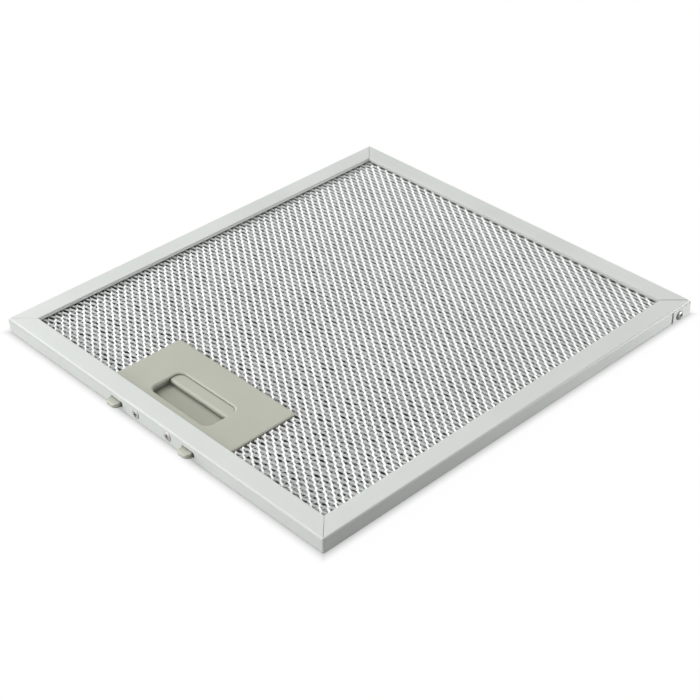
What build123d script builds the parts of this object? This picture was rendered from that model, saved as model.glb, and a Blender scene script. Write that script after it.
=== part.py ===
from build123d import *
import math
import os

# Cooker hood grease filter: expanded metal layers in a folded aluminium frame, with a sprung latch handle.
# The frame is centred on X and Y and lies on Z = 0. Its latch edge faces -Y, and the pocket opens to +Z.

# Frame, one folded strip of C section
frame_x = 248.0
frame_y = 272.0
frame_height = 9.0
sheet = 0.7
flange_width = 12.0
lip_depth = 1.8
fold_radius = 1.2
lip_fold_radius = 0.8
mitre_gap = 0.2

# Lap that closes the strip at the +X +Y corner
lap_gap = 0.08
lap_mitre_gap = 0.6
lap_end_gap = 0.4
tab_length = 15.5
tab_height = 7.0

# Blind rivet through the lap
rivet_from_back = 10.5
rivet_shank = 3.2
rivet_fit = 0.05
rivet_head = 5.6
rivet_head_height = 1.1
rivet_bulb = 4.4
rivet_bulb_length = 1.8

# Filter layers between the two lips
layer_edge_gap = 2.8
layer_lip_gap = 0.4
layer_gap = 0.05
cutout_gap = 0.4
mesh_height = 1.65
mesh_web = 0.35
strand_pitch = 3.85
strand_angle = 35.0
strand_share = 0.62
slit_width = 1.2
slit_share = 0.7
front_slit_step = 1
rear_slit_step = 3
slit_stagger = 0.618
slit_end_margin = 8.0
slit_least_line = 70.0
foil_count = 3
foil_thickness = 0.15
foil_pitch = 32.0
foil_share = 0.5

# Handle housing, a moulded front plate and its rear cover
handle_width = 91.0
handle_reach = 55.3
handle_lip_gap = 0.1
handle_end_gap = 0.1
handle_corner = 1.8
handle_bevel = 0.5
handle_wall = 1.4
handle_skin = 0.9
cover_thickness = 1.2
peg_size = 2.9
peg_length = 2.2
peg_inset = 5.4
peg_fit = 0.05
socket_wall = 1.2

# Finger pocket in the housing
pocket_width = 45.2
pocket_length = 20.5
pocket_from_edge = 16.7
pocket_corner = 4.2
pocket_rim_bevel = 0.7

# Latch slide, a finger bar with two arms that end in tongues
tongue_width = 7.6
tongue_spacing = 56.6
tongue_reach = 4.5
tongue_round = 1.2
tongue_corner = 2.6
tongue_slope_length = 3.6
tongue_slope_share = 0.3
slot_gap = 0.3
slot_side_gap = 1.0
slot_corner = 0.8
latch_travel = 5.0
slide_gap = 0.2
guide_gap = 0.2
guide_wall = 1.2
guide_setback = 4.0
stop_gap = 0.2
finger_room = 13.0
bar_length = 10.0
bar_end_margin = 2.9
bar_round = 1.4

# Return springs behind the bar
spring_wire = 0.4
spring_turns = 5
spring_sides = 8
spring_gap = 0.25
spring_end_gap = 0.05
spring_pin_gap = 0.3
spring_pin_length = 3.0
spring_rib = 0.9
spring_rib_gap = 0.35

# Screws through the latch wall
screw_spacing = 25.2
screw_thread = 2.6
screw_fit = 0.05
screw_wall_gap = 0.2
screw_length = 9.0
screw_head = 5.2
screw_head_height = 0.6
screw_boss = 6.4

# Heights that several pieces share
handle_top = frame_height - lip_depth - handle_lip_gap
handle_bottom = lip_depth + handle_lip_gap
cover_top = handle_bottom + cover_thickness
skin_underside = handle_top - handle_skin
cavity_height = skin_underside - cover_top
slide_low = cover_top + slide_gap
slide_top = skin_underside - slide_gap
slide_middle = (slide_low + slide_top) / 2
screw_z = (cover_top + handle_top) / 2

# Places along Y that several pieces share
latch_face = -frame_y / 2
latch_inner = latch_face + sheet
handle_front = latch_inner + handle_end_gap
handle_back = latch_face + handle_reach
handle_length = handle_back - handle_front
handle_middle = (handle_front + handle_back) / 2
housing_back_inner = handle_back - handle_wall
pocket_front = latch_face + pocket_from_edge
pocket_middle = pocket_front + pocket_length / 2
bar_front = pocket_front + finger_room
bar_back = bar_front + bar_length
tongue_tip = latch_face - tongue_reach

# Places along X that several pieces share
arm_x = tongue_spacing / 2
arm_inner = arm_x - tongue_width / 2
arm_outer = arm_x + tongue_width / 2
pocket_outer = arm_inner - guide_gap
bar_width = 2 * (arm_outer + bar_end_margin)
screw_x = screw_spacing / 2

# Spring section, from the height it has to lie in
spring_outer = cavity_height - 2 * spring_gap
spring_mean = spring_outer - spring_wire
spring_pin_side = (spring_mean - spring_wire - 2 * spring_pin_gap) / math.sqrt(2)


def prism(sketch, z_low, z_high):
    """A sketch on XY raised from one height to another."""
    return Pos(0, 0, z_low) * extrude(sketch, z_high - z_low)


def block(x_range, y_range, z_range):
    """A box between two values on each axis."""
    size = [high - low for low, high in (x_range, y_range, z_range)]
    corner = [low for low, high in (x_range, y_range, z_range)]
    return Pos(*corner) * Box(*size, align=Align.MIN)


def both_sides(solid):
    """A solid and its mirror image across the YZ plane."""
    return [solid, mirror(solid, Plane.YZ)]


def rod(diameter, start, length, direction):
    """A round bar from a start point along a direction."""
    return extrude(Plane(start, z_dir=direction) * Circle(diameter / 2), length)


# Frame
window_x = frame_x - 2 * flange_width
window_y = frame_y - 2 * flange_width
tab_inner = frame_x / 2 + lap_gap
tab_outer = tab_inner + sheet


def frame_block(inset):
    """A plain block, inset from the frame's outer faces."""
    outline = Rectangle(frame_x - 2 * inset, frame_y - 2 * inset)
    return prism(outline, inset, frame_height - inset)


def lip_ring(z_low, z_high):
    """The inturned lip along the inner edge of a flange."""
    outline = Rectangle(window_x + 2 * sheet, window_y + 2 * sheet) - Rectangle(window_x, window_y)
    return prism(outline, z_low, z_high)


def on_window_edge(edge):
    """True for an outer edge of a flange along the window."""
    place = edge.center()
    at_face = min(abs(place.Z), abs(place.Z - frame_height)) < sheet / 10
    along_y = abs(abs(place.X) - window_x / 2) < sheet / 10
    along_x = abs(abs(place.Y) - window_y / 2) < sheet / 10
    return at_face and (along_x or along_y)


def mitre_cut(side_x, side_y, width, reach):
    """A seam across both flanges at a corner, from the window to a given distance from the corner."""
    start = flange_width + lip_depth
    length = math.sqrt(2) * (start - reach)
    middle = (start + reach) / 2
    place = Pos(side_x * (frame_x / 2 - middle), side_y * (frame_y / 2 - middle), 0)
    seam = place * Rot(0, 0, 45 * side_x * side_y) * Rectangle(length, width)
    top = prism(seam, frame_height - lip_depth, frame_height)
    bottom = prism(seam, 0, lip_depth)
    return [top, bottom]


def lap_tab():
    """The end of the strip, which turns the corner outside the next wall."""
    back = frame_y / 2
    outline = Polyline(
        (frame_x / 2 - flange_width, back - sheet / 2),
        (tab_inner + sheet / 2, back - sheet / 2),
        (tab_inner + sheet / 2, back - tab_length),
    )
    centre_line = fillet(outline.vertices()[1:2], fold_radius - sheet / 2)
    z_low = (frame_height - tab_height) / 2
    return prism(trace(centre_line, sheet), z_low, z_low + tab_height)


def make_frame():
    """The folded strip with its slots and holes."""
    outside = frame_block(0)
    strip = fillet(outside.edges(), fold_radius) - frame_block(sheet)
    strip -= block((-window_x / 2, window_x / 2), (-window_y / 2, window_y / 2), (0, frame_height))
    strip += lip_ring(0, lip_depth)
    strip += lip_ring(frame_height - lip_depth, frame_height)
    strip = fillet(strip.edges().filter_by(on_window_edge), lip_fold_radius)
    for side_x, side_y in ((-1, -1), (-1, 1), (1, -1)):
        strip -= mitre_cut(side_x, side_y, mitre_gap, fold_radius)
    strip -= mitre_cut(1, 1, lap_mitre_gap, 0)
    # The wall's corner makes room for the tab
    open_x = (frame_x / 2 - fold_radius, tab_outer)
    open_y = (frame_y / 2 - sheet - lap_end_gap, frame_y / 2)
    strip -= block(open_x, open_y, (0, frame_height))
    strip += lap_tab()
    rivet_start = (frame_x / 2 - flange_width, frame_y / 2 - rivet_from_back, frame_height / 2)
    strip -= rod(rivet_shank + 2 * rivet_fit, rivet_start, 2 * flange_width, (1, 0, 0))
    slot_height = slide_top - slide_low + 2 * slot_gap
    slot = Rectangle(tongue_width + 2 * slot_side_gap, slot_height)
    slot = chamfer(slot.vertices(), slot_corner)
    slot_plane = Plane((arm_x, latch_face - sheet, slide_middle), x_dir=(1, 0, 0), z_dir=(0, 1, 0))
    strip -= both_sides(extrude(slot_plane * slot, 3 * sheet))
    screw_start = (screw_x, latch_face - sheet, screw_z)
    hole = rod(screw_thread + 2 * screw_wall_gap, screw_start, 3 * sheet, (0, 1, 0))
    return strip - both_sides(hole)


def make_corner_rivet():
    """The set blind rivet: its head, its shank through the lap, and its bulb inside."""
    wall_inner = frame_x / 2 - sheet
    bulb_end = wall_inner - rivet_bulb_length
    head_top = tab_outer + rivet_head_height
    profile = Polyline(
        (bulb_end, 0),
        (bulb_end, rivet_bulb / 2),
        (wall_inner, rivet_bulb / 2),
        (wall_inner, rivet_shank / 2),
        (tab_outer, rivet_shank / 2),
        (tab_outer, rivet_head / 2),
        (head_top, rivet_head / 2),
        (head_top, 0),
        close=True,
    )
    rivet = revolve(make_face(profile), Axis.X)
    return Pos(0, frame_y / 2 - rivet_from_back, frame_height / 2) * rivet


# Filter layers
layer_x = frame_x - 2 * (sheet + layer_edge_gap)
layer_y = frame_y - 2 * (sheet + layer_edge_gap)
stack_low = lip_depth + layer_lip_gap
stack_top = frame_height - stack_low
foil_room = stack_top - stack_low - 2 * mesh_height - (foil_count + 1) * layer_gap
foil_height = foil_room / foil_count


def ridge_line(pitch, share, z_low, z_high):
    """The zigzag of a sheet's section, more than long enough to cross the layer at any angle."""
    count = 2 * math.ceil(math.hypot(layer_x, layer_y) / (2 * pitch)) + 2
    line = []
    for index in range(count):
        line.append(((index - count / 2) * pitch, z_low))
        line.append(((index - count / 2 + share) * pitch, z_high))
    return line + [(count / 2 * pitch, z_low)]


def cut_layer(section, angle):
    """A section drawn out along its ridges, turned to their angle, cut to the frame and round the handle."""
    span = math.hypot(layer_x, layer_y) + layer_x
    drawn = extrude(Plane.YZ * make_face(Polyline(*section, close=True)), span / 2, both=True)
    side = handle_width / 2 + cutout_gap
    cutout_length = handle_back + cutout_gap + layer_y / 2
    cutout = Pos(0, (cutout_length - layer_y) / 2, 0) * Rectangle(2 * side, cutout_length)
    outline = Rectangle(layer_x, layer_y) - cutout
    return (Rot(0, 0, angle) * drawn) & extrude(outline, frame_height)


def line_span(offset, angle):
    """Where a line at an offset from the middle enters and leaves the layer's rectangle."""
    along = (math.cos(math.radians(angle)), math.sin(math.radians(angle)))
    middle = (-offset * along[1], offset * along[0])
    ends = []
    for start, step, half in zip(middle, along, (layer_x / 2, layer_y / 2)):
        ends.append(sorted(((-half - start) / step, (half - start) / step)))
    return max(low for low, high in ends), min(high for low, high in ends)


def slits(angle, row_step):
    """Long gaps in the steep sides of the ridges, one every few rows and staggered from one to the next."""
    reach = math.floor(math.hypot(layer_x, layer_y) / 2 / strand_pitch)
    steep_middle = (strand_share + 1) / 2
    gaps = []
    for index in range(-reach, reach, row_step):
        offset = (index + steep_middle) * strand_pitch
        low, high = line_span(offset, angle)
        length = slit_share * (high - low)
        if high - low < slit_least_line:
            continue
        play = high - low - length - 2 * slit_end_margin
        start = low + slit_end_margin + play * (index * slit_stagger % 1)
        place = Rot(0, 0, angle) * Pos(start + length / 2, offset, 0)
        gaps.append(place * Box(length, slit_width, 2 * mesh_height))
    return gaps


def make_mesh(angle, row_step):
    """An outer expanded metal sheet lying on Z = 0, its rows of strands as ridges with gaps between them."""
    top = ridge_line(strand_pitch, strand_share, mesh_web, mesh_height)
    section = [(top[0][0], 0), *top, (top[-1][0], 0)]
    return cut_layer(section, angle) - slits(angle, row_step)


def make_front_mesh():
    """The sheet behind the front window, with its ridges outwards."""
    return Pos(0, 0, stack_top - mesh_height) * make_mesh(-strand_angle, front_slit_step)


def make_rear_mesh():
    """The sheet behind the rear window, with its ridges outwards."""
    sheet_up = make_mesh(strand_angle, rear_slit_step)
    return mirror(Pos(0, 0, -stack_low - mesh_height) * sheet_up, Plane.XY)


def make_inner_layer(index):
    """A crimped foil layer, with its crimps across those of the next one."""
    rise = foil_height - foil_thickness
    lower = ridge_line(foil_pitch, foil_share, 0, rise)
    upper = ridge_line(foil_pitch, foil_share, foil_thickness, foil_height)
    z_low = stack_low + mesh_height + layer_gap + index * (foil_height + layer_gap)
    return Pos(0, 0, z_low) * cut_layer(lower + upper[::-1], 90 * (index % 2))


# Handle
def housing_outline(inset):
    """The handle's outline seen from above, or one inset from it."""
    size = (handle_width - 2 * inset, handle_length - 2 * inset)
    if inset < handle_corner:
        return Pos(0, handle_middle, 0) * RectangleRounded(*size, handle_corner - inset)
    return Pos(0, handle_middle, 0) * Rectangle(*size)


def pocket_outline(grow):
    """The pocket window's outline seen from above, grown or shrunk."""
    size = (pocket_width + 2 * grow, pocket_length + 2 * grow)
    return Pos(0, pocket_middle, 0) * RectangleRounded(*size, pocket_corner + grow)


def peg_places():
    """The four places near the handle's corners where the cover's pegs stand."""
    x_place = handle_width / 2 - peg_inset
    y_places = (handle_front + peg_inset, handle_back - peg_inset)
    return [Pos(x, y, 0) for x in (-x_place, x_place) for y in y_places]


def spring_ribs():
    """The ribs either side of a spring, which also stop the slide at the end of its travel."""
    inner = spring_outer / 2 + spring_rib_gap
    y_range = (bar_back + latch_travel + stop_gap, housing_back_inner)
    ribs = []
    for side in (-1, 1):
        edges = sorted((arm_x + side * inner, arm_x + side * (inner + spring_rib)))
        ribs.append(block(edges, y_range, (cover_top, skin_underside)))
    return ribs


def spring_pin(y_low, y_high):
    """A square pin inside one end of a spring."""
    half = spring_pin_side / 2
    return block((arm_x - half, arm_x + half), (y_low, y_high), (slide_middle - half, slide_middle + half))


def make_handle_plate():
    """The front half of the handle, with pocket walls, guides, bosses and spring pins under its skin."""
    plate = prism(housing_outline(0), cover_top, handle_top)
    plate = chamfer(plate.faces().sort_by(Axis.Z)[-1].edges(), handle_bevel)
    plate -= prism(housing_outline(handle_wall), cover_top, skin_underside)
    hollow = (cover_top, skin_underside)
    # Pocket walls, open towards the bar
    cup = prism(pocket_outline(pocket_outer - pocket_width / 2), *hollow)
    cup &= block((-pocket_outer, pocket_outer), (handle_front, bar_front - stop_gap), hollow)
    plate += cup
    # Guides outside the arms, which also stop the bar
    guide_x = (arm_outer + guide_gap, arm_outer + guide_gap + guide_wall)
    guide_y = (handle_front + guide_setback, bar_front - stop_gap)
    plate += both_sides(block(guide_x, guide_y, hollow))
    # Bosses for the screws and the pegs
    boss_x = (screw_x - screw_boss / 2, screw_x + screw_boss / 2)
    plate += both_sides(block(boss_x, (handle_front, pocket_front), hollow))
    socket = peg_size + 2 * peg_fit
    plate += [prism(place * Rectangle(socket + 2 * socket_wall, socket + 2 * socket_wall), *hollow)
              for place in peg_places()]
    plate -= [prism(place * Rectangle(socket, socket), cover_top, cover_top + peg_length + slide_gap)
              for place in peg_places()]
    for rib in spring_ribs():
        plate += both_sides(rib)
    plate += both_sides(spring_pin(housing_back_inner - spring_pin_length, housing_back_inner))
    # Openings for the pocket, the arms and the screws
    plate -= prism(pocket_outline(0), cover_top, handle_top)
    rim = plate.faces().sort_by(Axis.Z)[-1].inner_wires()[0]
    plate = chamfer(rim.edges(), pocket_rim_bevel)
    arm_x_range = (arm_inner - slot_side_gap, arm_outer + slot_side_gap)
    plate -= both_sides(block(arm_x_range, (handle_front, handle_front + handle_wall), hollow))
    bore = rod(screw_thread + 2 * screw_fit, (screw_x, handle_front, screw_z), screw_length, (0, 1, 0))
    return plate - both_sides(bore)


def make_rear_cover():
    """The plain back half of the handle, which is the pocket's floor and carries the pegs."""
    cover = prism(housing_outline(0), handle_bottom, cover_top)
    cover = chamfer(cover.faces().sort_by(Axis.Z)[0].edges(), handle_bevel)
    cover += [prism(place * Rectangle(peg_size, peg_size), cover_top, cover_top + peg_length)
              for place in peg_places()]
    return cover


def make_latch_slide():
    """The finger bar with its two arms, tongues and spring pins."""
    bar = block((-bar_width / 2, bar_width / 2), (bar_front, bar_back), (slide_low, slide_top))
    front_edge = bar.edges().filter_by(Axis.X).group_by(Axis.Z)[-1].sort_by(Axis.Y)[0]
    bar = fillet(front_edge, bar_round)
    slope_z = slide_low + tongue_slope_share * (slide_top - slide_low)
    side_view = Polyline(
        (bar_back, slide_low),
        (bar_back, slide_top),
        (tongue_tip, slide_top),
        (tongue_tip, slope_z),
        (tongue_tip + tongue_slope_length, slide_low),
        close=True,
    )
    arm_face = make_face(Plane.YZ * side_view)
    tip = arm_face.vertices().group_by(Axis.Y)[0]
    arm_face = fillet(tip.sort_by(Axis.Z)[-1], tongue_round)
    arm = Pos(arm_inner, 0, 0) * extrude(arm_face, tongue_width, dir=(1, 0, 0))
    top_view = Pos(arm_x, (tongue_tip + bar_back) / 2, 0) * Rectangle(tongue_width, bar_back - tongue_tip)
    top_view = fillet(top_view.vertices().group_by(Axis.Y)[0], tongue_corner)
    arm &= prism(top_view, slide_low, slide_top)
    return bar + both_sides(arm) + both_sides(spring_pin(bar_back, bar_back + spring_pin_length))


def make_spring(side):
    """A compression spring between the bar and the housing's back wall."""
    length = housing_back_inner - bar_back - 2 * spring_end_gap
    rise = length - spring_wire
    radius = spring_mean / 2
    steps = spring_turns * spring_sides
    bends = []
    for step in range(steps + 1):
        turn = 2 * math.pi * step / spring_sides
        bends.append((radius * math.cos(turn), radius * math.sin(turn), rise * step / steps))
    path = Polyline(*bends)
    section = Plane(path @ 0, z_dir=path % 0) * Rectangle(spring_wire, spring_wire)
    coil = sweep(section, path, transition=Transition.RIGHT)
    place = Pos(side * arm_x, bar_back + spring_end_gap + spring_wire / 2, slide_middle)
    return place * Rot(-90, 0, 0) * coil


def make_handle_screws():
    """The two low-headed screws that hold the handle to the latch wall."""
    shank_end = latch_face + screw_length
    profile = Polyline(
        (0, latch_face - screw_head_height),
        (screw_head / 2, latch_face - screw_head_height),
        (screw_head / 2, latch_face),
        (screw_thread / 2, latch_face),
        (screw_thread / 2, shank_end),
        (0, shank_end),
        close=True,
    )
    screw = Pos(screw_x, 0, screw_z) * revolve(make_face(profile), Axis.Y)
    return Compound(children=both_sides(screw))


nodes = {
    "frame": make_frame(),
    "corner_rivet": make_corner_rivet(),
    "front_mesh": make_front_mesh(),
    "rear_mesh": make_rear_mesh(),
    "handle_plate": make_handle_plate(),
    "rear_cover": make_rear_cover(),
    "latch_slide": make_latch_slide(),
    "spring_left": make_spring(-1),
    "spring_right": make_spring(1),
    "handle_screws": make_handle_screws(),
}
for number in range(foil_count):
    nodes[f"inner_layer_{number + 1}"] = make_inner_layer(number)

os.makedirs("parts", exist_ok=True)
for name, shape in nodes.items():
    export_step(shape, f"parts/{name}.step")
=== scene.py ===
"""Looks of a cooker hood grease filter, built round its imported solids.

The filter lies on Z = 0 with its latch edge towards -Y. Lengths in the classes are millimetres, and
each new mesh is brought to metres before it becomes an object.
"""

import logging
import math
from dataclasses import dataclass
from enum import Enum

import bmesh
import bpy
from mathutils import Matrix, Vector, noise


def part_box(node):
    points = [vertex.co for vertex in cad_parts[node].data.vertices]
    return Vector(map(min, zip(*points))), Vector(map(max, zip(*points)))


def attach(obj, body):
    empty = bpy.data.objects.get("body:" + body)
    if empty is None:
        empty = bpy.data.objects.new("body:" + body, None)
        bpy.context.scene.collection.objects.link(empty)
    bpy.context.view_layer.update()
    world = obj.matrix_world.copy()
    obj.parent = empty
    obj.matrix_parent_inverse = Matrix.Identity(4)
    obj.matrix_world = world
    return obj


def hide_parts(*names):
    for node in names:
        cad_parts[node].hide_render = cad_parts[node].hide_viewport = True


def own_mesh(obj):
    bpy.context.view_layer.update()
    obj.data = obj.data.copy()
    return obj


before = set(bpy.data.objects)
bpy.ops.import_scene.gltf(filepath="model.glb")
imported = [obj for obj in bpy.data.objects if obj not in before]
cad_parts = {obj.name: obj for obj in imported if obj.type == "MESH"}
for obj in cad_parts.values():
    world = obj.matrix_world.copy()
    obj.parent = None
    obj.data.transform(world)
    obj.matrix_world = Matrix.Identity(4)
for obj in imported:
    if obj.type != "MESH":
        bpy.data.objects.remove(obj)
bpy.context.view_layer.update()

log = logging.getLogger("grease_filter")

MM = 0.001
FILTER_BODY = "filter"
WHITE = (1.0, 1.0, 1.0, 1.0)
CLOUD_RANGE = (0.3, 0.7)

Colour = tuple[float, float, float]
Triple = tuple[float, float, float]
Tint = Colour | bpy.types.NodeSocket


class Value:
    """A number socket of a shader, on which Python arithmetic adds Math nodes."""

    def __init__(self, graph: "Graph", socket: bpy.types.NodeSocket) -> None:
        """Keeps the socket and the graph that it belongs to."""
        self.graph = graph
        self.socket = socket

    def _math(self, operation: str, first: "Value | float", second: "Value | float" = 0.0) -> "Value":
        """Adds one Math node.

        Args:
            operation: The Math node's operation.
            first: Its first value.
            second: Its second value, which some operations leave unread.

        Returns:
            The node's result.
        """
        made = self.graph.node("ShaderNodeMath", {"operation": operation}, {0: first, 1: second})
        return Value(self.graph, made.outputs[0])

    def __add__(self, other: "Value | float") -> "Value":
        """Adds a value."""
        return self._math("ADD", self, other)

    def __radd__(self, other: float) -> "Value":
        """Is added to a number."""
        return self._math("ADD", other, self)

    def __sub__(self, other: "Value | float") -> "Value":
        """Takes a value away."""
        return self._math("SUBTRACT", self, other)

    def __rsub__(self, other: float) -> "Value":
        """Is taken away from a number."""
        return self._math("SUBTRACT", other, self)

    def __mul__(self, other: "Value | float") -> "Value":
        """Multiplies by a value."""
        return self._math("MULTIPLY", self, other)

    def __gt__(self, other: "Value | float") -> "Value":
        """Is 1 where this is the greater, and 0 elsewhere."""
        return self._math("GREATER_THAN", self, other)

    def __abs__(self) -> "Value":
        """Drops the sign."""
        return self._math("ABSOLUTE", self)

    def most(self, other: "Value | float") -> "Value":
        """Gives the greater of two values."""
        return self._math("MAXIMUM", self, other)

    def ramp(self, low: float, high: float, start: float = 0.0, end: float = 1.0) -> "Value":
        """Eases from one number to another.

        Args:
            low: Where the change starts.
            high: Where the change ends.
            start: The result up to low.
            end: The result past high.

        Returns:
            The eased value.
        """
        made = self.graph.node(
            "ShaderNodeMapRange",
            {"interpolation_type": "SMOOTHSTEP"},
            {"Value": self, "From Min": low, "From Max": high, "To Min": start, "To Max": end},
        )
        return Value(self.graph, made.outputs[0])


class Graph:
    """The nodes of one material or of the world."""

    def __init__(self, tree: bpy.types.NodeTree) -> None:
        """Starts from an empty tree."""
        self.tree = tree
        tree.nodes.clear()

    def node(
        self,
        kind: str,
        settings: dict[str, object] | None = None,
        inputs: dict[int | str, object] | None = None,
    ) -> bpy.types.Node:
        """Adds a node.

        Args:
            kind: The node's type.
            settings: Its properties, which are set first.
            inputs: The values or links of its sockets.

        Returns:
            The node.
        """
        made = self.tree.nodes.new(kind)
        for name, setting in (settings or {}).items():
            setattr(made, name, setting)
        for name, given in (inputs or {}).items():
            source = given.socket if isinstance(given, Value) else given
            if isinstance(source, bpy.types.NodeSocket):
                self.tree.links.new(source, made.inputs[name])
            else:
                made.inputs[name].default_value = source
        return made

    def place(self) -> bpy.types.NodeSocket:
        """Gives the point on the piece, in its own coordinates."""
        return self.node("ShaderNodeTexCoord").outputs["Object"]

    def axes(self) -> tuple[Value, Value, Value]:
        """Gives the point's X, Y and Z in metres."""
        parts = self.node("ShaderNodeSeparateXYZ", {}, {0: self.place()})
        return tuple(Value(self, socket) for socket in parts.outputs)

    def noise(self, grain: Triple, detail: float = 2.0) -> Value:
        """Gives a cloudy pattern.

        Args:
            grain: The size of its clouds along X, Y and Z, in millimetres.
            detail: How many finer octaves it has.

        Returns:
            The pattern, around 0.5.
        """
        scale = tuple(1 / (size * MM) for size in grain)
        spread = self.node("ShaderNodeMapping", {}, {"Vector": self.place(), "Scale": scale})
        cloud = self.node(
            "ShaderNodeTexNoise", {}, {"Vector": spread.outputs[0], "Scale": 1.0, "Detail": detail}
        )
        return Value(self, cloud.outputs[0])

    def mix(self, share: Value, first: Tint, second: Tint) -> bpy.types.NodeSocket:
        """Blends two colours.

        Args:
            share: How much of the second colour shows.
            first: The colour at a share of 0.
            second: The colour at a share of 1.

        Returns:
            The blended colour.
        """
        inputs = {0: share}
        for name, tint in ((6, first), (7, second)):
            inputs[name] = (*tint, 1.0) if isinstance(tint, tuple) else tint
        return self.node("ShaderNodeMix", {"data_type": "RGBA"}, inputs).outputs[2]

    def hidden(self, reach: float, low: float, high: float) -> Value:
        """Finds the recesses and the inner corners.

        Args:
            reach: How far away a surface still hides a point, in millimetres.
            low: The hidden share up to which a point counts as open.
            high: The hidden share from which it counts as hidden.

        Returns:
            0 where the surface is open, up to 1 where it is hidden.
        """
        made = self.node("ShaderNodeAmbientOcclusion", {"samples": 8}, {"Distance": reach * MM})
        return (1.0 - Value(self, made.outputs["AO"])).ramp(low, high)

    def bump(
        self, height: Value, depth: float, normal: bpy.types.NodeSocket | None = None
    ) -> bpy.types.NodeSocket:
        """Raises a pattern on the surface.

        Args:
            height: The pattern, from 0 to 1.
            depth: Its height in millimetres.
            normal: The normal that it starts from, or None for the surface's own.

        Returns:
            The new normal.
        """
        inputs = {"Height": height, "Distance": depth * MM}
        if normal is not None:
            inputs["Normal"] = normal
        return self.node("ShaderNodeBump", {}, inputs).outputs[0]


def shade(colour: Colour, share: float) -> Colour:
    """Gives a colour made darker or lighter by a share."""
    return tuple(part * share for part in colour)


@dataclass(frozen=True)
class Finish:
    """What each finish has: its name, its colour in linear light, and how metallic and rough it is."""

    name: str
    colour: Colour
    metallic: float
    roughness: float

    def material(self) -> bpy.types.Material:
        """Builds the material.

        Returns:
            The material, with its pattern in its nodes.
        """
        made = bpy.data.materials.new(self.name)
        made.use_nodes = True
        made.diffuse_color = (*self.colour, 1.0)
        graph = Graph(made.node_tree)
        inputs = {"Metallic": self.metallic, **self.surface(graph)}
        shader = graph.node("ShaderNodeBsdfPrincipled", {}, inputs)
        graph.node("ShaderNodeOutputMaterial", {}, {"Surface": shader.outputs[0]})
        return made

    def surface(self, graph: Graph) -> dict[str, object]:
        """Gives what varies over the surface, by the shader's socket."""
        raise NotImplementedError


@dataclass(frozen=True)
class SatinStrip(Finish):
    """Anodised sheet with a faint rolling grain along each side of the frame, and painted shade along its
    folds that tones down their highlight.
    """

    half_x: float = 124.0
    half_y: float = 136.0
    tone: float = 0.03
    fold_shade_tone: float = 0.8
    fold_shade_range: tuple[float, float] = (0.04, 0.15)
    grain_depth: float = 0.004

    def surface(self, graph: Graph) -> dict[str, object]:
        """Gives the tone, the painted shade on the folds, the gloss and the grain, which turns at the
        mitres.
        """
        x, y, _ = graph.axes()
        on_side = abs(x) - abs(y) > (self.half_x - self.half_y) * MM
        along_x = graph.noise((60.0, 0.35, 0.35))
        along_y = graph.noise((0.35, 60.0, 0.35))
        grain = along_x + on_side * (along_y - along_x)
        cloud = graph.noise((45.0, 45.0, 45.0))
        tone = cloud * 0.7 + grain * 0.3
        # Painted shade: the colour darkens along the folds, where the normal turns between flat and upright,
        # to tone down their highlight.
        normal = graph.node("ShaderNodeNewGeometry").outputs["Normal"]
        flat = abs(Value(graph, graph.node("ShaderNodeSeparateXYZ", {}, {0: normal}).outputs[2]))
        fold_shade = (flat * (1.0 - flat)).ramp(*self.fold_shade_range)
        low = shade(self.colour, 1 - self.tone)
        high = shade(self.colour, 1 + self.tone)
        even = graph.mix(tone.ramp(*CLOUD_RANGE), low, high)
        return {
            "Base Color": graph.mix(fold_shade, even, shade(self.colour, self.fold_shade_tone)),
            "Roughness": self.roughness + (cloud - 0.5) * 0.08 + (grain - 0.5) * 0.06,
            "Normal": graph.bump(grain, self.grain_depth),
        }


@dataclass(frozen=True)
class RolledMetal(Finish):
    """Bare rolled or drawn metal with fine streaks and a little dullness in patches."""

    streak: Triple = (6.0, 0.5, 0.5)
    patch: float = 18.0
    tone: float = 0.06
    depth: float = 0.01

    def surface(self, graph: Graph) -> dict[str, object]:
        """Gives the streaks, the dull patches and their relief."""
        streaks = graph.noise(self.streak)
        patches = graph.noise((self.patch,) * 3)
        tone = streaks * 0.5 + patches * 0.5
        low = shade(self.colour, 1 - self.tone)
        high = shade(self.colour, 1 + self.tone)
        return {
            "Base Color": graph.mix(tone.ramp(*CLOUD_RANGE), low, high),
            "Roughness": self.roughness + (patches - 0.5) * 0.12 + (streaks - 0.5) * 0.08,
            "Normal": graph.bump(streaks, self.depth),
        }


@dataclass(frozen=True)
class RecessShadedMetal(RolledMetal):
    """Plated metal with painted shade in its recesses."""

    reach: float = 1.2
    recess_shade_range: tuple[float, float] = (0.2, 0.5)
    recess_shade_tone: float = 0.06

    def surface(self, graph: Graph) -> dict[str, object]:
        """Gives the plain metal with painted shade in its recesses."""
        plain = super().surface(graph)
        # Painted shade: the colour goes almost black where ambient occlusion finds a recess, such as a
        # screw's cross or the rivet's bore.
        hidden = graph.hidden(self.reach, *self.recess_shade_range)
        recess_shade_colour = shade(self.colour, self.recess_shade_tone)
        return {**plain, "Base Color": graph.mix(hidden, plain["Base Color"], recess_shade_colour)}


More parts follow.
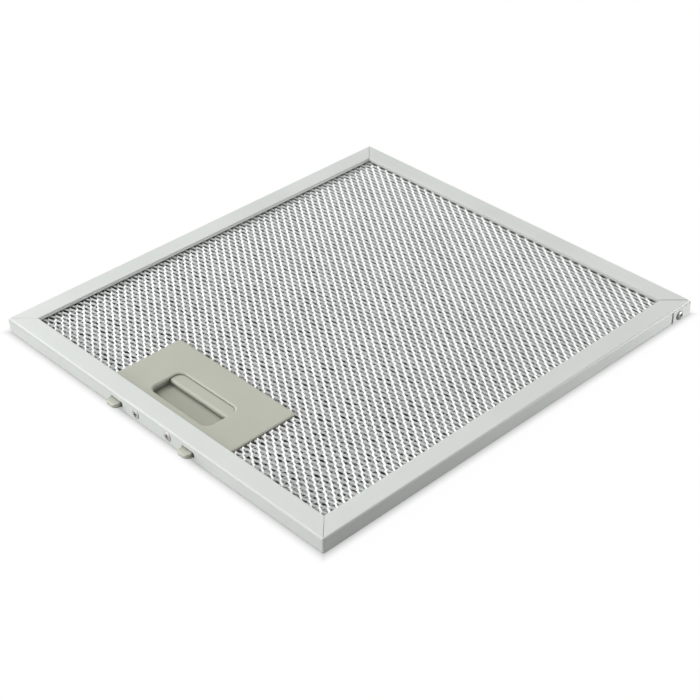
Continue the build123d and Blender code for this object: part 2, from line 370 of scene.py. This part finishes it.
@dataclass(frozen=True)
class MouldedPlastic(Finish):
    """Moulded plastic with a fine satin texture, softened edges with a painted highlight, and painted shade
    in its inner corners.
    """

    edge: float = 1.1
    edge_highlight_tone: float = 1.15
    edge_highlight_range: tuple[float, float] = (0.005, 0.08)
    corner: float = 5.0
    corner_shade_range: tuple[float, float] = (0.1, 0.5)
    corner_shade_tone: float = 0.5
    tone: float = 0.02
    texture: float = 0.35
    depth: float = 0.006

    def surface(self, graph: Graph) -> dict[str, object]:
        """Gives the even tone, the painted highlight on the edges, the painted shade in the inner corners
        and the moulded texture.
        """
        texture = graph.noise((self.texture,) * 3)
        cloud = graph.noise((30.0, 30.0, 30.0))
        softened = graph.node("ShaderNodeBevel", {"samples": 6}, {"Radius": self.edge * MM}).outputs[0]
        straight = graph.node("ShaderNodeNewGeometry").outputs["Normal"]
        product = {"operation": "DOT_PRODUCT"}
        facing = graph.node("ShaderNodeVectorMath", product, {0: softened, 1: straight})
        # Painted highlight: the colour is lightened along the edges, where the softened normal parts from
        # the true one.
        edge_highlight = (1.0 - Value(graph, facing.outputs["Value"])).ramp(*self.edge_highlight_range)
        # Painted shade: the colour is darkened where ambient occlusion finds an inner corner or a recess.
        corner_shade = graph.hidden(self.corner, *self.corner_shade_range)
        low = shade(self.colour, 1 - self.tone)
        high = shade(self.colour, 1 + self.tone)
        highlight_colour = shade(self.colour, self.edge_highlight_tone)
        even = graph.mix(cloud.ramp(*CLOUD_RANGE), low, high)
        corner_shade_colour = shade(self.colour, self.corner_shade_tone)
        return {
            "Base Color": graph.mix(corner_shade, graph.mix(edge_highlight, even, highlight_colour), corner_shade_colour),
            "Roughness": self.roughness + (texture - 0.5) * 0.1 + (cloud - 0.5) * 0.05,
            "Normal": graph.bump(texture, self.depth, softened),
        }


FRAME_FINISH = SatinStrip("satin_aluminium_strip", (0.79, 0.82, 0.79), 0.25, 0.62)
STRAND_FINISH = RolledMetal("bright_aluminium_strand", (0.86, 0.87, 0.865), 0.65, 0.6)
FOIL_FINISH = RolledMetal("dull_aluminium_foil", (0.76, 0.77, 0.76), 1.0, 0.5, tone=0.1)
RIVET_FINISH = RecessShadedMetal("rivet_aluminium", (0.5, 0.51, 0.5), 0.8, 0.5, (0.4, 0.4, 0.4), 3.0)
SCREW_FINISH = RecessShadedMetal("zinc_plated_steel", (0.72, 0.72, 0.7), 0.5, 0.45, (0.5, 0.5, 0.5), 3.0)
SPRING_FINISH = RolledMetal("drawn_spring_wire", (0.5, 0.5, 0.51), 1.0, 0.3, (0.3, 0.3, 0.3), 4.0)
HANDLE_FINISH = MouldedPlastic("beige_grey_moulding", (0.55, 0.56, 0.475), 0.0, 0.46)
# The cover is the handle's beige-grey made darker, which paints shade into the pocket floor that it forms.
COVER_FINISH = MouldedPlastic("beige_grey_cover", (0.44, 0.45, 0.375), 0.0, 0.5)
SLIDE_FINISH = MouldedPlastic("beige_grey_slide", (0.55, 0.56, 0.48), 0.0, 0.44)


def dress(node: str, finish: Finish) -> None:
    """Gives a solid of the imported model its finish.

    Args:
        node: The solid's name.
        finish: The finish that replaces its plain one.
    """
    material = finish.material()
    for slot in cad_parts[node].material_slots:
        slot.material = material
    log.info("dressed %s as %s", node, finish.name)


def finish_piece(bm: bmesh.types.BMesh, name: str, node: str, finish: Finish) -> bpy.types.Object:
    """Makes a mesh in millimetres an object that stands for a solid.

    Args:
        bm: The mesh, which is freed.
        name: The new piece's name.
        node: The solid that it stands for.
        finish: The piece's finish.

    Returns:
        The piece, riding on the filter.
    """
    bmesh.ops.scale(bm, vec=(MM, MM, MM), verts=bm.verts)
    mesh = bpy.data.meshes.new(name)
    bm.to_mesh(mesh)
    bm.free()
    piece = bpy.data.objects.new(name, mesh)
    bpy.context.scene.collection.objects.link(piece)
    mesh.materials.append(finish.material())
    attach(piece, FILTER_BODY)
    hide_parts(node)
    log.info("built %s with %d faces", name, len(mesh.polygons))
    return piece


def node_box(node: str) -> tuple[Vector, Vector]:
    """Gives a solid's lowest and highest corners in millimetres."""
    low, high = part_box(node)
    return low / MM, high / MM


class LongWay(Enum):
    """Which way the long diagonals of a sheet's openings run."""

    ALONG_LATCH = 0.0
    ACROSS_LATCH = 90.0


class Outside(Enum):
    """Which side of the filter a sheet's raised edges face."""

    FRONT = 0.0
    REAR = 180.0


@dataclass
class ExpandedSheet:
    """A sheet of raised expanded metal, whose zigzag strands join side by side at their bonds."""

    node: str
    slot: str
    finish: Finish
    long_way: float
    short_way: float
    strand: float
    gauge: float
    tilt: float
    bond: float
    way: LongWay = LongWay.ALONG_LATCH
    outside: Outside = Outside.FRONT
    handle_gap: float = 0.4
    weld: float = 0.001
    sway: float = 0.12
    sway_length: float = 35.0
    seed: float = 0.0
    shift: tuple[float, float] = (0.0, 0.0)

    def directions(self) -> tuple[Vector, Vector]:
        """Gives the directions of a strand's width and of its thickness."""
        tilt = math.radians(self.tilt)
        return Vector((0, math.cos(tilt), math.sin(tilt))), Vector((0, -math.sin(tilt), math.cos(tilt)))

    def one_period(self) -> bmesh.types.BMesh:
        """Draws one strand from bond to bond and back, open where it joins its neighbours.

        Returns:
            The period, with its first bond round the origin.
        """
        width, thick = self.directions()
        bm = bmesh.new()
        bmesh.ops.create_grid(bm, x_segments=1, y_segments=1, size=0.5)
        start = width * self.strand / 2 - Vector((self.bond / 2, 0, 0))
        turn = Matrix((width * self.strand, thick * self.gauge, (1, 0, 0))).transposed().to_4x4()
        bmesh.ops.transform(bm, matrix=Matrix.Translation(start) @ turn, verts=bm.verts)
        first_face = bm.faces[:]
        slope = Vector((self.long_way / 2 - self.bond, self.short_way / 2, 0)) - width * self.strand
        flat = Vector((self.bond, 0, 0))
        back = Vector((slope.x, -slope.y, -slope.z))
        ring = bm.edges[:]
        joined = []
        for step, side in ((flat, -1), (slope, 0), (flat, 1), (back, 0)):
            ring_sum = sum((edge.verts[0].co + edge.verts[1].co for edge in ring), Vector())
            middle = ring_sum / (2 * len(ring))
            made = bmesh.ops.extrude_edge_only(bm, edges=ring)["geom"]
            ends = {part for part in made if isinstance(part, bmesh.types.BMVert)}
            edges = [part for part in made if isinstance(part, bmesh.types.BMEdge)]
            ring = [edge for edge in edges if set(edge.verts) <= ends]
            bmesh.ops.translate(bm, vec=step, verts=list(ends))
            for face in (part for part in made if isinstance(part, bmesh.types.BMFace)):
                if side * (face.calc_center_median() - middle).dot(width) > self.strand / 4:
                    joined.append(face)
        bmesh.ops.delete(bm, geom=first_face + joined, context="FACES_ONLY")
        return bm

    def repeat(self, bm: bmesh.types.BMesh, steps: list[Vector]) -> None:
        """Copies the whole mesh to more places.

        Args:
            bm: The mesh.
            steps: How far each copy is from the first.
        """
        first = bm.verts[:] + bm.edges[:] + bm.faces[:]
        for step in steps:
            copy = bmesh.ops.duplicate(bm, geom=first)["geom"]
            moved = [part for part in copy if isinstance(part, bmesh.types.BMVert)]
            bmesh.ops.translate(bm, vec=step, verts=moved)

    def trim(self, bm: bmesh.types.BMesh, faces: list[bmesh.types.BMFace], axis: int, at: float) -> None:
        """Cuts some faces along a plane, and keeps both sides.

        Args:
            bm: The mesh.
            faces: The faces to cut.
            axis: The axis that the plane is square to.
            at: Where the plane stands on it.
        """
        normal = Vector((0, 0, 0))
        normal[axis] = 1
        parts = dict.fromkeys(faces)
        for face in faces:
            parts.update(dict.fromkeys(face.edges))
            parts.update(dict.fromkeys(face.verts))
        bmesh.ops.bisect_plane(bm, geom=list(parts), dist=self.weld, plane_co=normal * at, plane_no=normal)

    def cut_to_frame(self, bm: bmesh.types.BMesh, low: Vector, high: Vector) -> None:
        """Cuts the sheet to its solid's outline and round the handle, and closes the cut strands.

        Args:
            bm: The sheet, larger than its outline.
            low: The outline's lowest corner.
            high: The outline's highest corner.
        """
        handle_low, handle_high = node_box("handle_plate")
        side, back = handle_high.x + self.handle_gap, handle_high.y + self.handle_gap
        reach = max(self.long_way, self.short_way)
        for axis in (0, 1):
            for at in (low[axis], high[axis]):
                self.trim(bm, bm.faces[:], axis, at)
        near = [face for face in bm.faces if abs(face.calc_center_median().x) < side + reach]
        self.trim(bm, near, 1, back)
        for at in (-side, side):
            front = [face for face in bm.faces if face.calc_center_median().y < back + self.weld]
            self.trim(bm, front, 0, at)
        waste = []
        for face in bm.faces:
            x, y, _ = face.calc_center_median()
            beyond = not (low.x < x < high.x and low.y < y < high.y)
            if beyond or (abs(x) < side and y < back):
                waste.append(face)
        bmesh.ops.delete(bm, geom=waste, context="FACES")
        bmesh.ops.delete(bm, geom=[edge for edge in bm.edges if not edge.link_faces], context="EDGES")
        bmesh.ops.delete(bm, geom=[vert for vert in bm.verts if not vert.link_faces], context="VERTS")
        bmesh.ops.holes_fill(bm, edges=[edge for edge in bm.edges if edge.is_boundary], sides=0)
        bmesh.ops.edgeloop_fill(bm, edges=[edge for edge in bm.edges if edge.is_boundary])
        bmesh.ops.recalc_face_normals(bm, faces=bm.faces)
        if bm.calc_volume(signed=True) < 0:
            bmesh.ops.reverse_faces(bm, faces=bm.faces)

    def build(self) -> bpy.types.Object:
        """Builds the sheet where its solid lies.

        Returns:
            The sheet as a piece of the filter.
        """
        low, high = node_box(self.node)
        across = Vector((high.x - low.x, high.y - low.y))
        if self.way is LongWay.ACROSS_LATCH:
            across = across.yx
        bm = self.one_period()
        columns = math.ceil(across.x / self.long_way) + 2
        rows = math.ceil(across.y / (self.short_way / 2)) + 2
        self.repeat(bm, [Vector((self.long_way * column, 0, 0)) for column in range(1, columns)])
        half = Vector((self.long_way / 2, self.short_way / 2, 0))
        self.repeat(bm, [Vector((half.x * (row % 2), half.y * row, 0)) for row in range(1, rows)])
        bmesh.ops.remove_doubles(bm, verts=bm.verts, dist=self.weld)
        bmesh.ops.recalc_face_normals(bm, faces=bm.faces)
        middle = Vector((columns * self.long_way, rows * self.short_way / 2, 0)) / 2
        bmesh.ops.translate(bm, vec=-middle, verts=bm.verts)
        for angle, axis in ((self.way.value, "Z"), (self.outside.value, "Y")):
            turn = Matrix.Rotation(math.radians(angle), 3, axis)
            bmesh.ops.rotate(bm, matrix=turn, verts=bm.verts)
        for vert in bm.verts:
            spot = Vector((vert.co.x, vert.co.y, self.seed)) / self.sway_length
            vert.co.xy += self.sway * noise.noise_vector(spot).xy
        bmesh.ops.translate(bm, vec=(*self.shift, (low.z + high.z) / 2), verts=bm.verts)
        self.cut_to_frame(bm, low, high)
        return finish_piece(bm, f"{self.node}_strands", self.node, self.finish)


@dataclass
class ReturnSpring:
    """A compression spring of round wire with closed ends, behind the finger bar."""

    node: str
    wire: float = 0.4
    outer: float = 2.6
    open_turns: int = 6
    closed_turns: int = 1
    turn_steps: int = 20
    wire_sides: int = 8
    travel: float = 5.0
    joint: str = "latch_pull"
    slot: str = "spring_steel"

    def build(self) -> bpy.types.Object:
        """Winds the spring where its solid lies.

        Returns:
            The spring, as a piece of the filter.
        """
        low, high = node_box(self.node)
        centre = (low + high) / 2
        length = high.y - low.y
        bm = bmesh.new()
        bmesh.ops.create_circle(bm, cap_ends=False, radius=self.wire / 2, segments=self.wire_sides)
        start = Vector(((self.outer - self.wire) / 2, low.y + self.wire / 2, 0))
        bmesh.ops.translate(bm, vec=start, verts=bm.verts)
        rise = (length - self.wire - 2 * self.closed_turns * self.wire) / self.open_turns
        section = bm.verts[:] + bm.edges[:]
        for turns, pitch in (
            (self.closed_turns, self.wire),
            (self.open_turns, rise),
            (self.closed_turns, self.wire),
        ):
            section = bmesh.ops.spin(
                bm,
                geom=section,
                cent=(0, 0, 0),
                axis=(0, 1, 0),
                dvec=(0, pitch / self.turn_steps, 0),
                angle=math.tau * turns,
                steps=self.turn_steps * turns,
            )["geom_last"]
        bmesh.ops.holes_fill(bm, edges=[edge for edge in bm.edges if edge.is_boundary], sides=0)
        bmesh.ops.recalc_face_normals(bm, faces=bm.faces)
        for face in bm.faces:
            face.smooth = len(face.verts) == 4
        bmesh.ops.translate(bm, vec=(centre.x, 0, centre.z), verts=bm.verts)
        piece = finish_piece(bm, f"{self.node}_coil", self.node, SPRING_FINISH)
        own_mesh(piece)
        return piece


def turned(profile: list[tuple[float, float]], steps: int) -> bmesh.types.BMesh:
    """Turns a profile about Z.

    Args:
        profile: Points as radius and height, the first and the last of them on the axis.
        steps: How many flats the full turn has.

    Returns:
        The turned solid.
    """
    bm = bmesh.new()
    points = [bm.verts.new((radius, 0, height)) for radius, height in profile]
    edges = [bm.edges.new(pair) for pair in zip(points, points[1:])]
    bmesh.ops.spin(
        bm,
        geom=points + edges,
        cent=(0, 0, 0),
        axis=(0, 0, 1),
        angle=math.tau,
        steps=steps,
        use_merge=True,
    )
    bmesh.ops.remove_doubles(bm, verts=bm.verts, dist=0.001)
    bmesh.ops.recalc_face_normals(bm, faces=bm.faces)
    return bm


@dataclass
class HandleScrews:
    """The two low-headed screws in the latch wall, with their cross recesses."""

    node: str = "handle_screws"
    slot: str = "screw_steel"
    head: float = 5.2
    head_height: float = 0.6
    thread: float = 2.6
    thread_depth: float = 0.3
    thread_pitch: float = 0.9
    recess: float = 3.9
    recess_width: float = 1.0
    recess_depth: float = 0.55
    recess_taper: float = 0.55
    turns: tuple[float, float] = (20.0, 65.0)
    steps: int = 32

    def profile(self, length: float) -> list[tuple[float, float]]:
        """Gives half of the screw's section.

        Args:
            length: The length under the head.

        Returns:
            Points as radius and height above the seat.
        """
        rim, tall = self.head / 2, self.head_height
        points = [(0, tall), (0.45 * rim, 0.985 * tall), (0.74 * rim, 0.88 * tall)]
        points += [(0.92 * rim, 0.66 * tall), (rim, 0.36 * tall), (rim, 0.08 * tall), (0.96 * rim, 0)]
        crest, root = self.thread / 2, self.thread / 2 - self.thread_depth
        points.append((root, 0))
        for turn in range(math.floor(length / self.thread_pitch)):
            top = -turn * self.thread_pitch
            points += [(crest, top - self.thread_pitch / 2), (root, top - self.thread_pitch)]
        return points + [(0, -length)]

    def cross(self) -> bpy.types.Object:
        """Builds the tapered cross that the recess is cut with.

        Returns:
            The cutter, which stands on the head's top.
        """
        bm = bmesh.new()
        for turn in (0, 90):
            made = bmesh.ops.create_cube(bm, size=1)["verts"]
            bmesh.ops.scale(bm, vec=(self.recess, self.recess_width, 2 * self.recess_depth), verts=made)
            low = [vert for vert in made if vert.co.z < 0]
            bmesh.ops.scale(bm, vec=(self.recess_taper, self.recess_taper, 1), verts=low)
            bmesh.ops.rotate(bm, matrix=Matrix.Rotation(math.radians(turn), 3, "Z"), verts=made)
        bmesh.ops.translate(bm, vec=(0, 0, self.head_height), verts=bm.verts)
        mesh = bpy.data.meshes.new("recess_cutter")
        bm.to_mesh(mesh)
        bm.free()
        cutter = bpy.data.objects.new("recess_cutter", mesh)
        bpy.context.scene.collection.objects.link(cutter)
        return cutter

    def one_screw(self, length: float) -> bpy.types.Mesh:
        """Turns one screw and cuts its recess.

        Args:
            length: The length under the head.

        Returns:
            The screw's mesh, standing on its tip along Z.
        """
        bm = turned(self.profile(length), self.steps)
        mesh = bpy.data.meshes.new("screw_blank")
        bm.to_mesh(mesh)
        bm.free()
        blank = bpy.data.objects.new("screw_blank", mesh)
        bpy.context.scene.collection.objects.link(blank)
        cutter = self.cross()
        cut = blank.modifiers.new("recess", "BOOLEAN")
        cut.operation, cut.solver, cut.use_self, cut.object = "DIFFERENCE", "EXACT", True, cutter
        ready = blank.evaluated_get(bpy.context.evaluated_depsgraph_get())
        screw = bpy.data.meshes.new_from_object(ready)
        for spare in (blank, cutter):
            bpy.data.objects.remove(spare)
        return screw

    def build(self) -> bpy.types.Object:
        """Sets both screws in the latch wall.

        Returns:
            The screws as one piece.
        """
        low, high = node_box(self.node)
        seat = low.y + self.head_height
        screw = self.one_screw(high.y - seat)
        bm = bmesh.new()
        for side, turn in zip((low.x + self.head / 2, high.x - self.head / 2), self.turns):
            before = set(bm.verts)
            bm.from_mesh(screw)
            made = [vert for vert in bm.verts if vert not in before]
            place = Matrix.Translation((side, seat, (low.z + high.z) / 2))
            lying = place @ Matrix.Rotation(math.radians(90), 4, "X")
            spun = lying @ Matrix.Rotation(math.radians(turn), 4, "Z")
            bmesh.ops.transform(bm, matrix=spun, verts=made)
        bpy.data.meshes.remove(screw)
        return finish_piece(bm, f"{self.node}_cross_head", self.node, SCREW_FINISH)


@dataclass
class CornerRivet:
    """The blind rivet that closes the lapped corner, with the bore of its mandrel."""

    node: str = "corner_rivet"
    slot: str = "rivet_aluminium"
    head: float = 5.6
    head_height: float = 1.1
    shank: float = 3.2
    wall: float = 1.48
    bulb: float = 4.4
    bore: float = 1.9
    bore_depth: float = 1.5
    steps: int = 32

    def build(self) -> bpy.types.Object:
        """Turns the rivet where its solid is.

        Returns:
            The rivet as a piece of the filter.
        """
        low, high = node_box(self.node)
        tall, rim, hole = self.head_height, self.head / 2, self.bore / 2
        inner = -self.wall
        end = low.x - (high.x - tall)
        profile = [(0, tall - self.bore_depth), (0.8 * hole, tall - self.bore_depth - 0.1)]
        profile += [(hole, tall - self.bore_depth + 0.1), (hole, tall - 0.1), (hole + 0.12, tall)]
        profile += [(0.6 * rim, 0.96 * tall), (0.8 * rim, 0.72 * tall), (0.95 * rim, 0.34 * tall)]
        profile += [(rim, 0.1 * tall), (rim, 0), (self.shank / 2, 0), (self.shank / 2, inner)]
        bulb = self.bulb / 2
        profile += [(bulb - 0.3, inner), (bulb, inner - 0.4), (bulb, end + 0.5), (bulb - 0.5, end), (0, end)]
        bm = turned(profile, self.steps)
        for face in bm.faces:
            face.smooth = True
        centre = (low + high) / 2
        place = Matrix.Translation((high.x - tall, centre.y, centre.z))
        lying = place @ Matrix.Rotation(math.radians(90), 4, "Y")
        bmesh.ops.transform(bm, matrix=lying, verts=bm.verts)
        return finish_piece(bm, f"{self.node}_dome", self.node, RIVET_FINISH)


class FilterStack:
    """The two outer sheets and the foil layers between them."""

    def __init__(self) -> None:
        """Sets out the sheets from the front to the rear."""
        lattice = dict(long_way=6.7, short_way=4.68, strand=1.1, bond=0.8)
        wide = dict(long_way=10.0, short_way=6.0, strand=1.15, bond=1.2)
        mesh = dict(slot="mesh_aluminium", finish=STRAND_FINISH, gauge=0.4, tilt=36.0, **lattice)
        foil = dict(slot="foil_aluminium", finish=FOIL_FINISH, gauge=0.12, tilt=5.5)
        self.sheets = [
            ExpandedSheet("front_mesh", **mesh),
            ExpandedSheet("inner_layer_3", **foil, **lattice, shift=(-1.08, 1.03)),
            ExpandedSheet("inner_layer_2", **foil, **wide, way=LongWay.ACROSS_LATCH, seed=2.0),
            ExpandedSheet("inner_layer_1", **foil, **wide, seed=3.0),
            ExpandedSheet("rear_mesh", **mesh, outside=Outside.REAR, seed=4.0),
        ]

    def build(self) -> None:
        """Builds every sheet."""
        for sheet in self.sheets:
            sheet.build()


class FoldedFrame:
    """The folded strip and the rivet of its lap."""

    def build(self) -> None:
        """Dresses the strip and sets the rivet."""
        dress("frame", FRAME_FINISH)
        CornerRivet().build()


class LatchHandle:
    """The moulded housing, its slide, springs and screws."""

    def build(self) -> None:
        """Dresses the mouldings and builds the small metal pieces."""
        dress("handle_plate", HANDLE_FINISH)
        dress("rear_cover", COVER_FINISH)
        dress("latch_slide", SLIDE_FINISH)
        for node in ("spring_left", "spring_right"):
            ReturnSpring(node).build()
        HandleScrews().build()


@dataclass(frozen=True)
class Softbox:
    """A square lamp that faces the filter."""

    name: str
    place: Triple
    aim: Triple
    side: float
    power: float

    def build(self) -> None:
        """Hangs the lamp."""
        lamp = bpy.data.lights.new(self.name, "AREA")
        lamp.size, lamp.energy = self.side, self.power
        hung = bpy.data.objects.new(self.name, lamp)
        bpy.context.scene.collection.objects.link(hung)
        hung.location = self.place
        away = Vector(self.aim) - Vector(self.place)
        hung.rotation_mode = "QUATERNION"
        hung.rotation_quaternion = away.to_track_quat("-Z", "Y")
        hung.visible_camera = False


@dataclass
class Studio:
    """The floor, the light and the camera. Lengths here are metres."""

    floor_size: float = 8.0
    floor_drop: float = 0.0002
    floor_tone: float = 0.35
    floor_white: float = 0.92
    floor_glow: float = 1.06
    footprint: tuple[float, float] = (0.124, 0.136)
    white_range: tuple[float, float] = (-0.006, 0.005)
    dim: float = 0.05
    overhead: float = 0.7
    overhead_range: tuple[float, float] = (0.2, 0.85)
    window: float = 1.0
    window_range: tuple[float, float] = (-0.98, -0.55)
    camera_place: Triple = (0.525424, -0.495328, 0.497868)
    camera_ahead: Triple = (-0.59238, 0.557715, -0.581412)
    camera_right: Triple = (0.692868, 0.720921, -0.0144)
    lens: float = 83.2732
    sensor: float = 36.0

    def softboxes(self) -> list[Softbox]:
        """Gives the lamps."""
        return [
            Softbox("key_softbox", (-1.36, -0.52, 1.02), (0, 0, 0), 1.0, 12.0),
            Softbox("front_softbox", (-0.15, -0.8, 0.12), (-0.05, -0.136, 0.005), 0.4, 3.2),
            Softbox("side_softbox", (0.36, 0.31, 0.03), (0.12, 0.13, 0), 0.15, 1.0),
        ]

    def seen(self, graph: Graph) -> Value:
        """Gives 1 for the rays that show the background, and 0 for those that light the filter."""
        path = graph.node("ShaderNodeLightPath")
        mask = Value(graph, path.outputs["Is Camera Ray"])
        return mask.most(Value(graph, path.outputs["Is Transmission Ray"]))

    def build_world(self) -> None:
        """Lights the scene from above, with a bright window low down on the -X side."""
        world = bpy.data.worlds.new("studio")
        bpy.context.scene.world = world
        world.use_nodes = True
        graph = Graph(world.node_tree)
        way = graph.node("ShaderNodeTexCoord").outputs["Generated"]
        parts = graph.node("ShaderNodeSeparateXYZ", {}, {0: way})
        across, _, up = (Value(graph, socket) for socket in parts.outputs)
        sky = up.ramp(*self.overhead_range, self.dim, self.overhead)
        light = sky + across.ramp(*self.window_range, self.window, 0.0)
        seen = self.seen(graph)
        strength = light + seen * (1.0 - light)
        background = graph.node("ShaderNodeBackground", {}, {"Color": WHITE, "Strength": strength})
        graph.node("ShaderNodeOutputWorld", {}, {"Surface": background.outputs[0]})

    def build_floor(self) -> None:
        """Lays the pale floor, which keeps the filter's shadow."""
        bm = bmesh.new()
        bmesh.ops.create_grid(bm, x_segments=1, y_segments=1, size=self.floor_size / 2)
        bmesh.ops.translate(bm, vec=(0, 0, -self.floor_drop), verts=bm.verts)
        mesh = bpy.data.meshes.new("floor")
        bm.to_mesh(mesh)
        bm.free()
        floor = bpy.data.objects.new("floor", mesh)
        bpy.context.scene.collection.objects.link(floor)
        material = bpy.data.materials.new("pale_floor")
        material.use_nodes = True
        graph = Graph(material.node_tree)
        pale = graph.node("ShaderNodeBsdfDiffuse", {}, {"Color": (*(self.floor_tone,) * 3, 1.0)})
        glow = graph.node("ShaderNodeEmission", {}, {"Color": WHITE, "Strength": self.floor_glow})
        x, y, _ = graph.axes()
        beside = (abs(x) - self.footprint[0]).most(abs(y) - self.footprint[1])
        share = self.seen(graph) * beside.ramp(*self.white_range, 0.0, self.floor_white)
        mixed = graph.node("ShaderNodeMixShader", {}, {0: share, 1: pale.outputs[0], 2: glow.outputs[0]})
        graph.node("ShaderNodeOutputMaterial", {}, {"Surface": mixed.outputs[0]})
        mesh.materials.append(material)

    def build_camera(self) -> None:
        """Stands the camera where the photograph was taken from."""
        data = bpy.data.cameras.new("camera")
        data.lens, data.sensor_width, data.clip_start = self.lens, self.sensor, 0.01
        camera = bpy.data.objects.new("camera", data)
        bpy.context.scene.collection.objects.link(camera)
        back = -Vector(self.camera_ahead).normalized()
        right = Vector(self.camera_right).normalized()
        turn = Matrix((right, back.cross(right), back)).transposed()
        camera.matrix_world = Matrix.Translation(self.camera_place) @ turn.to_4x4()
        bpy.context.scene.camera = camera

    def build(self) -> None:
        """Sets up the whole studio."""
        bpy.context.scene.view_settings.view_transform = "Standard"
        self.build_world()
        self.build_floor()
        self.build_camera()
        for lamp in self.softboxes():
            lamp.build()
        log.info("studio set up")


def main() -> None:
    """Builds the filter piece by piece, then the studio."""
    logging.basicConfig(level=logging.INFO, format="%(name)s: %(message)s")
    FoldedFrame().build()
    FilterStack().build()
    LatchHandle().build()
    Studio().build()


if __name__ == "__main__":
    main()
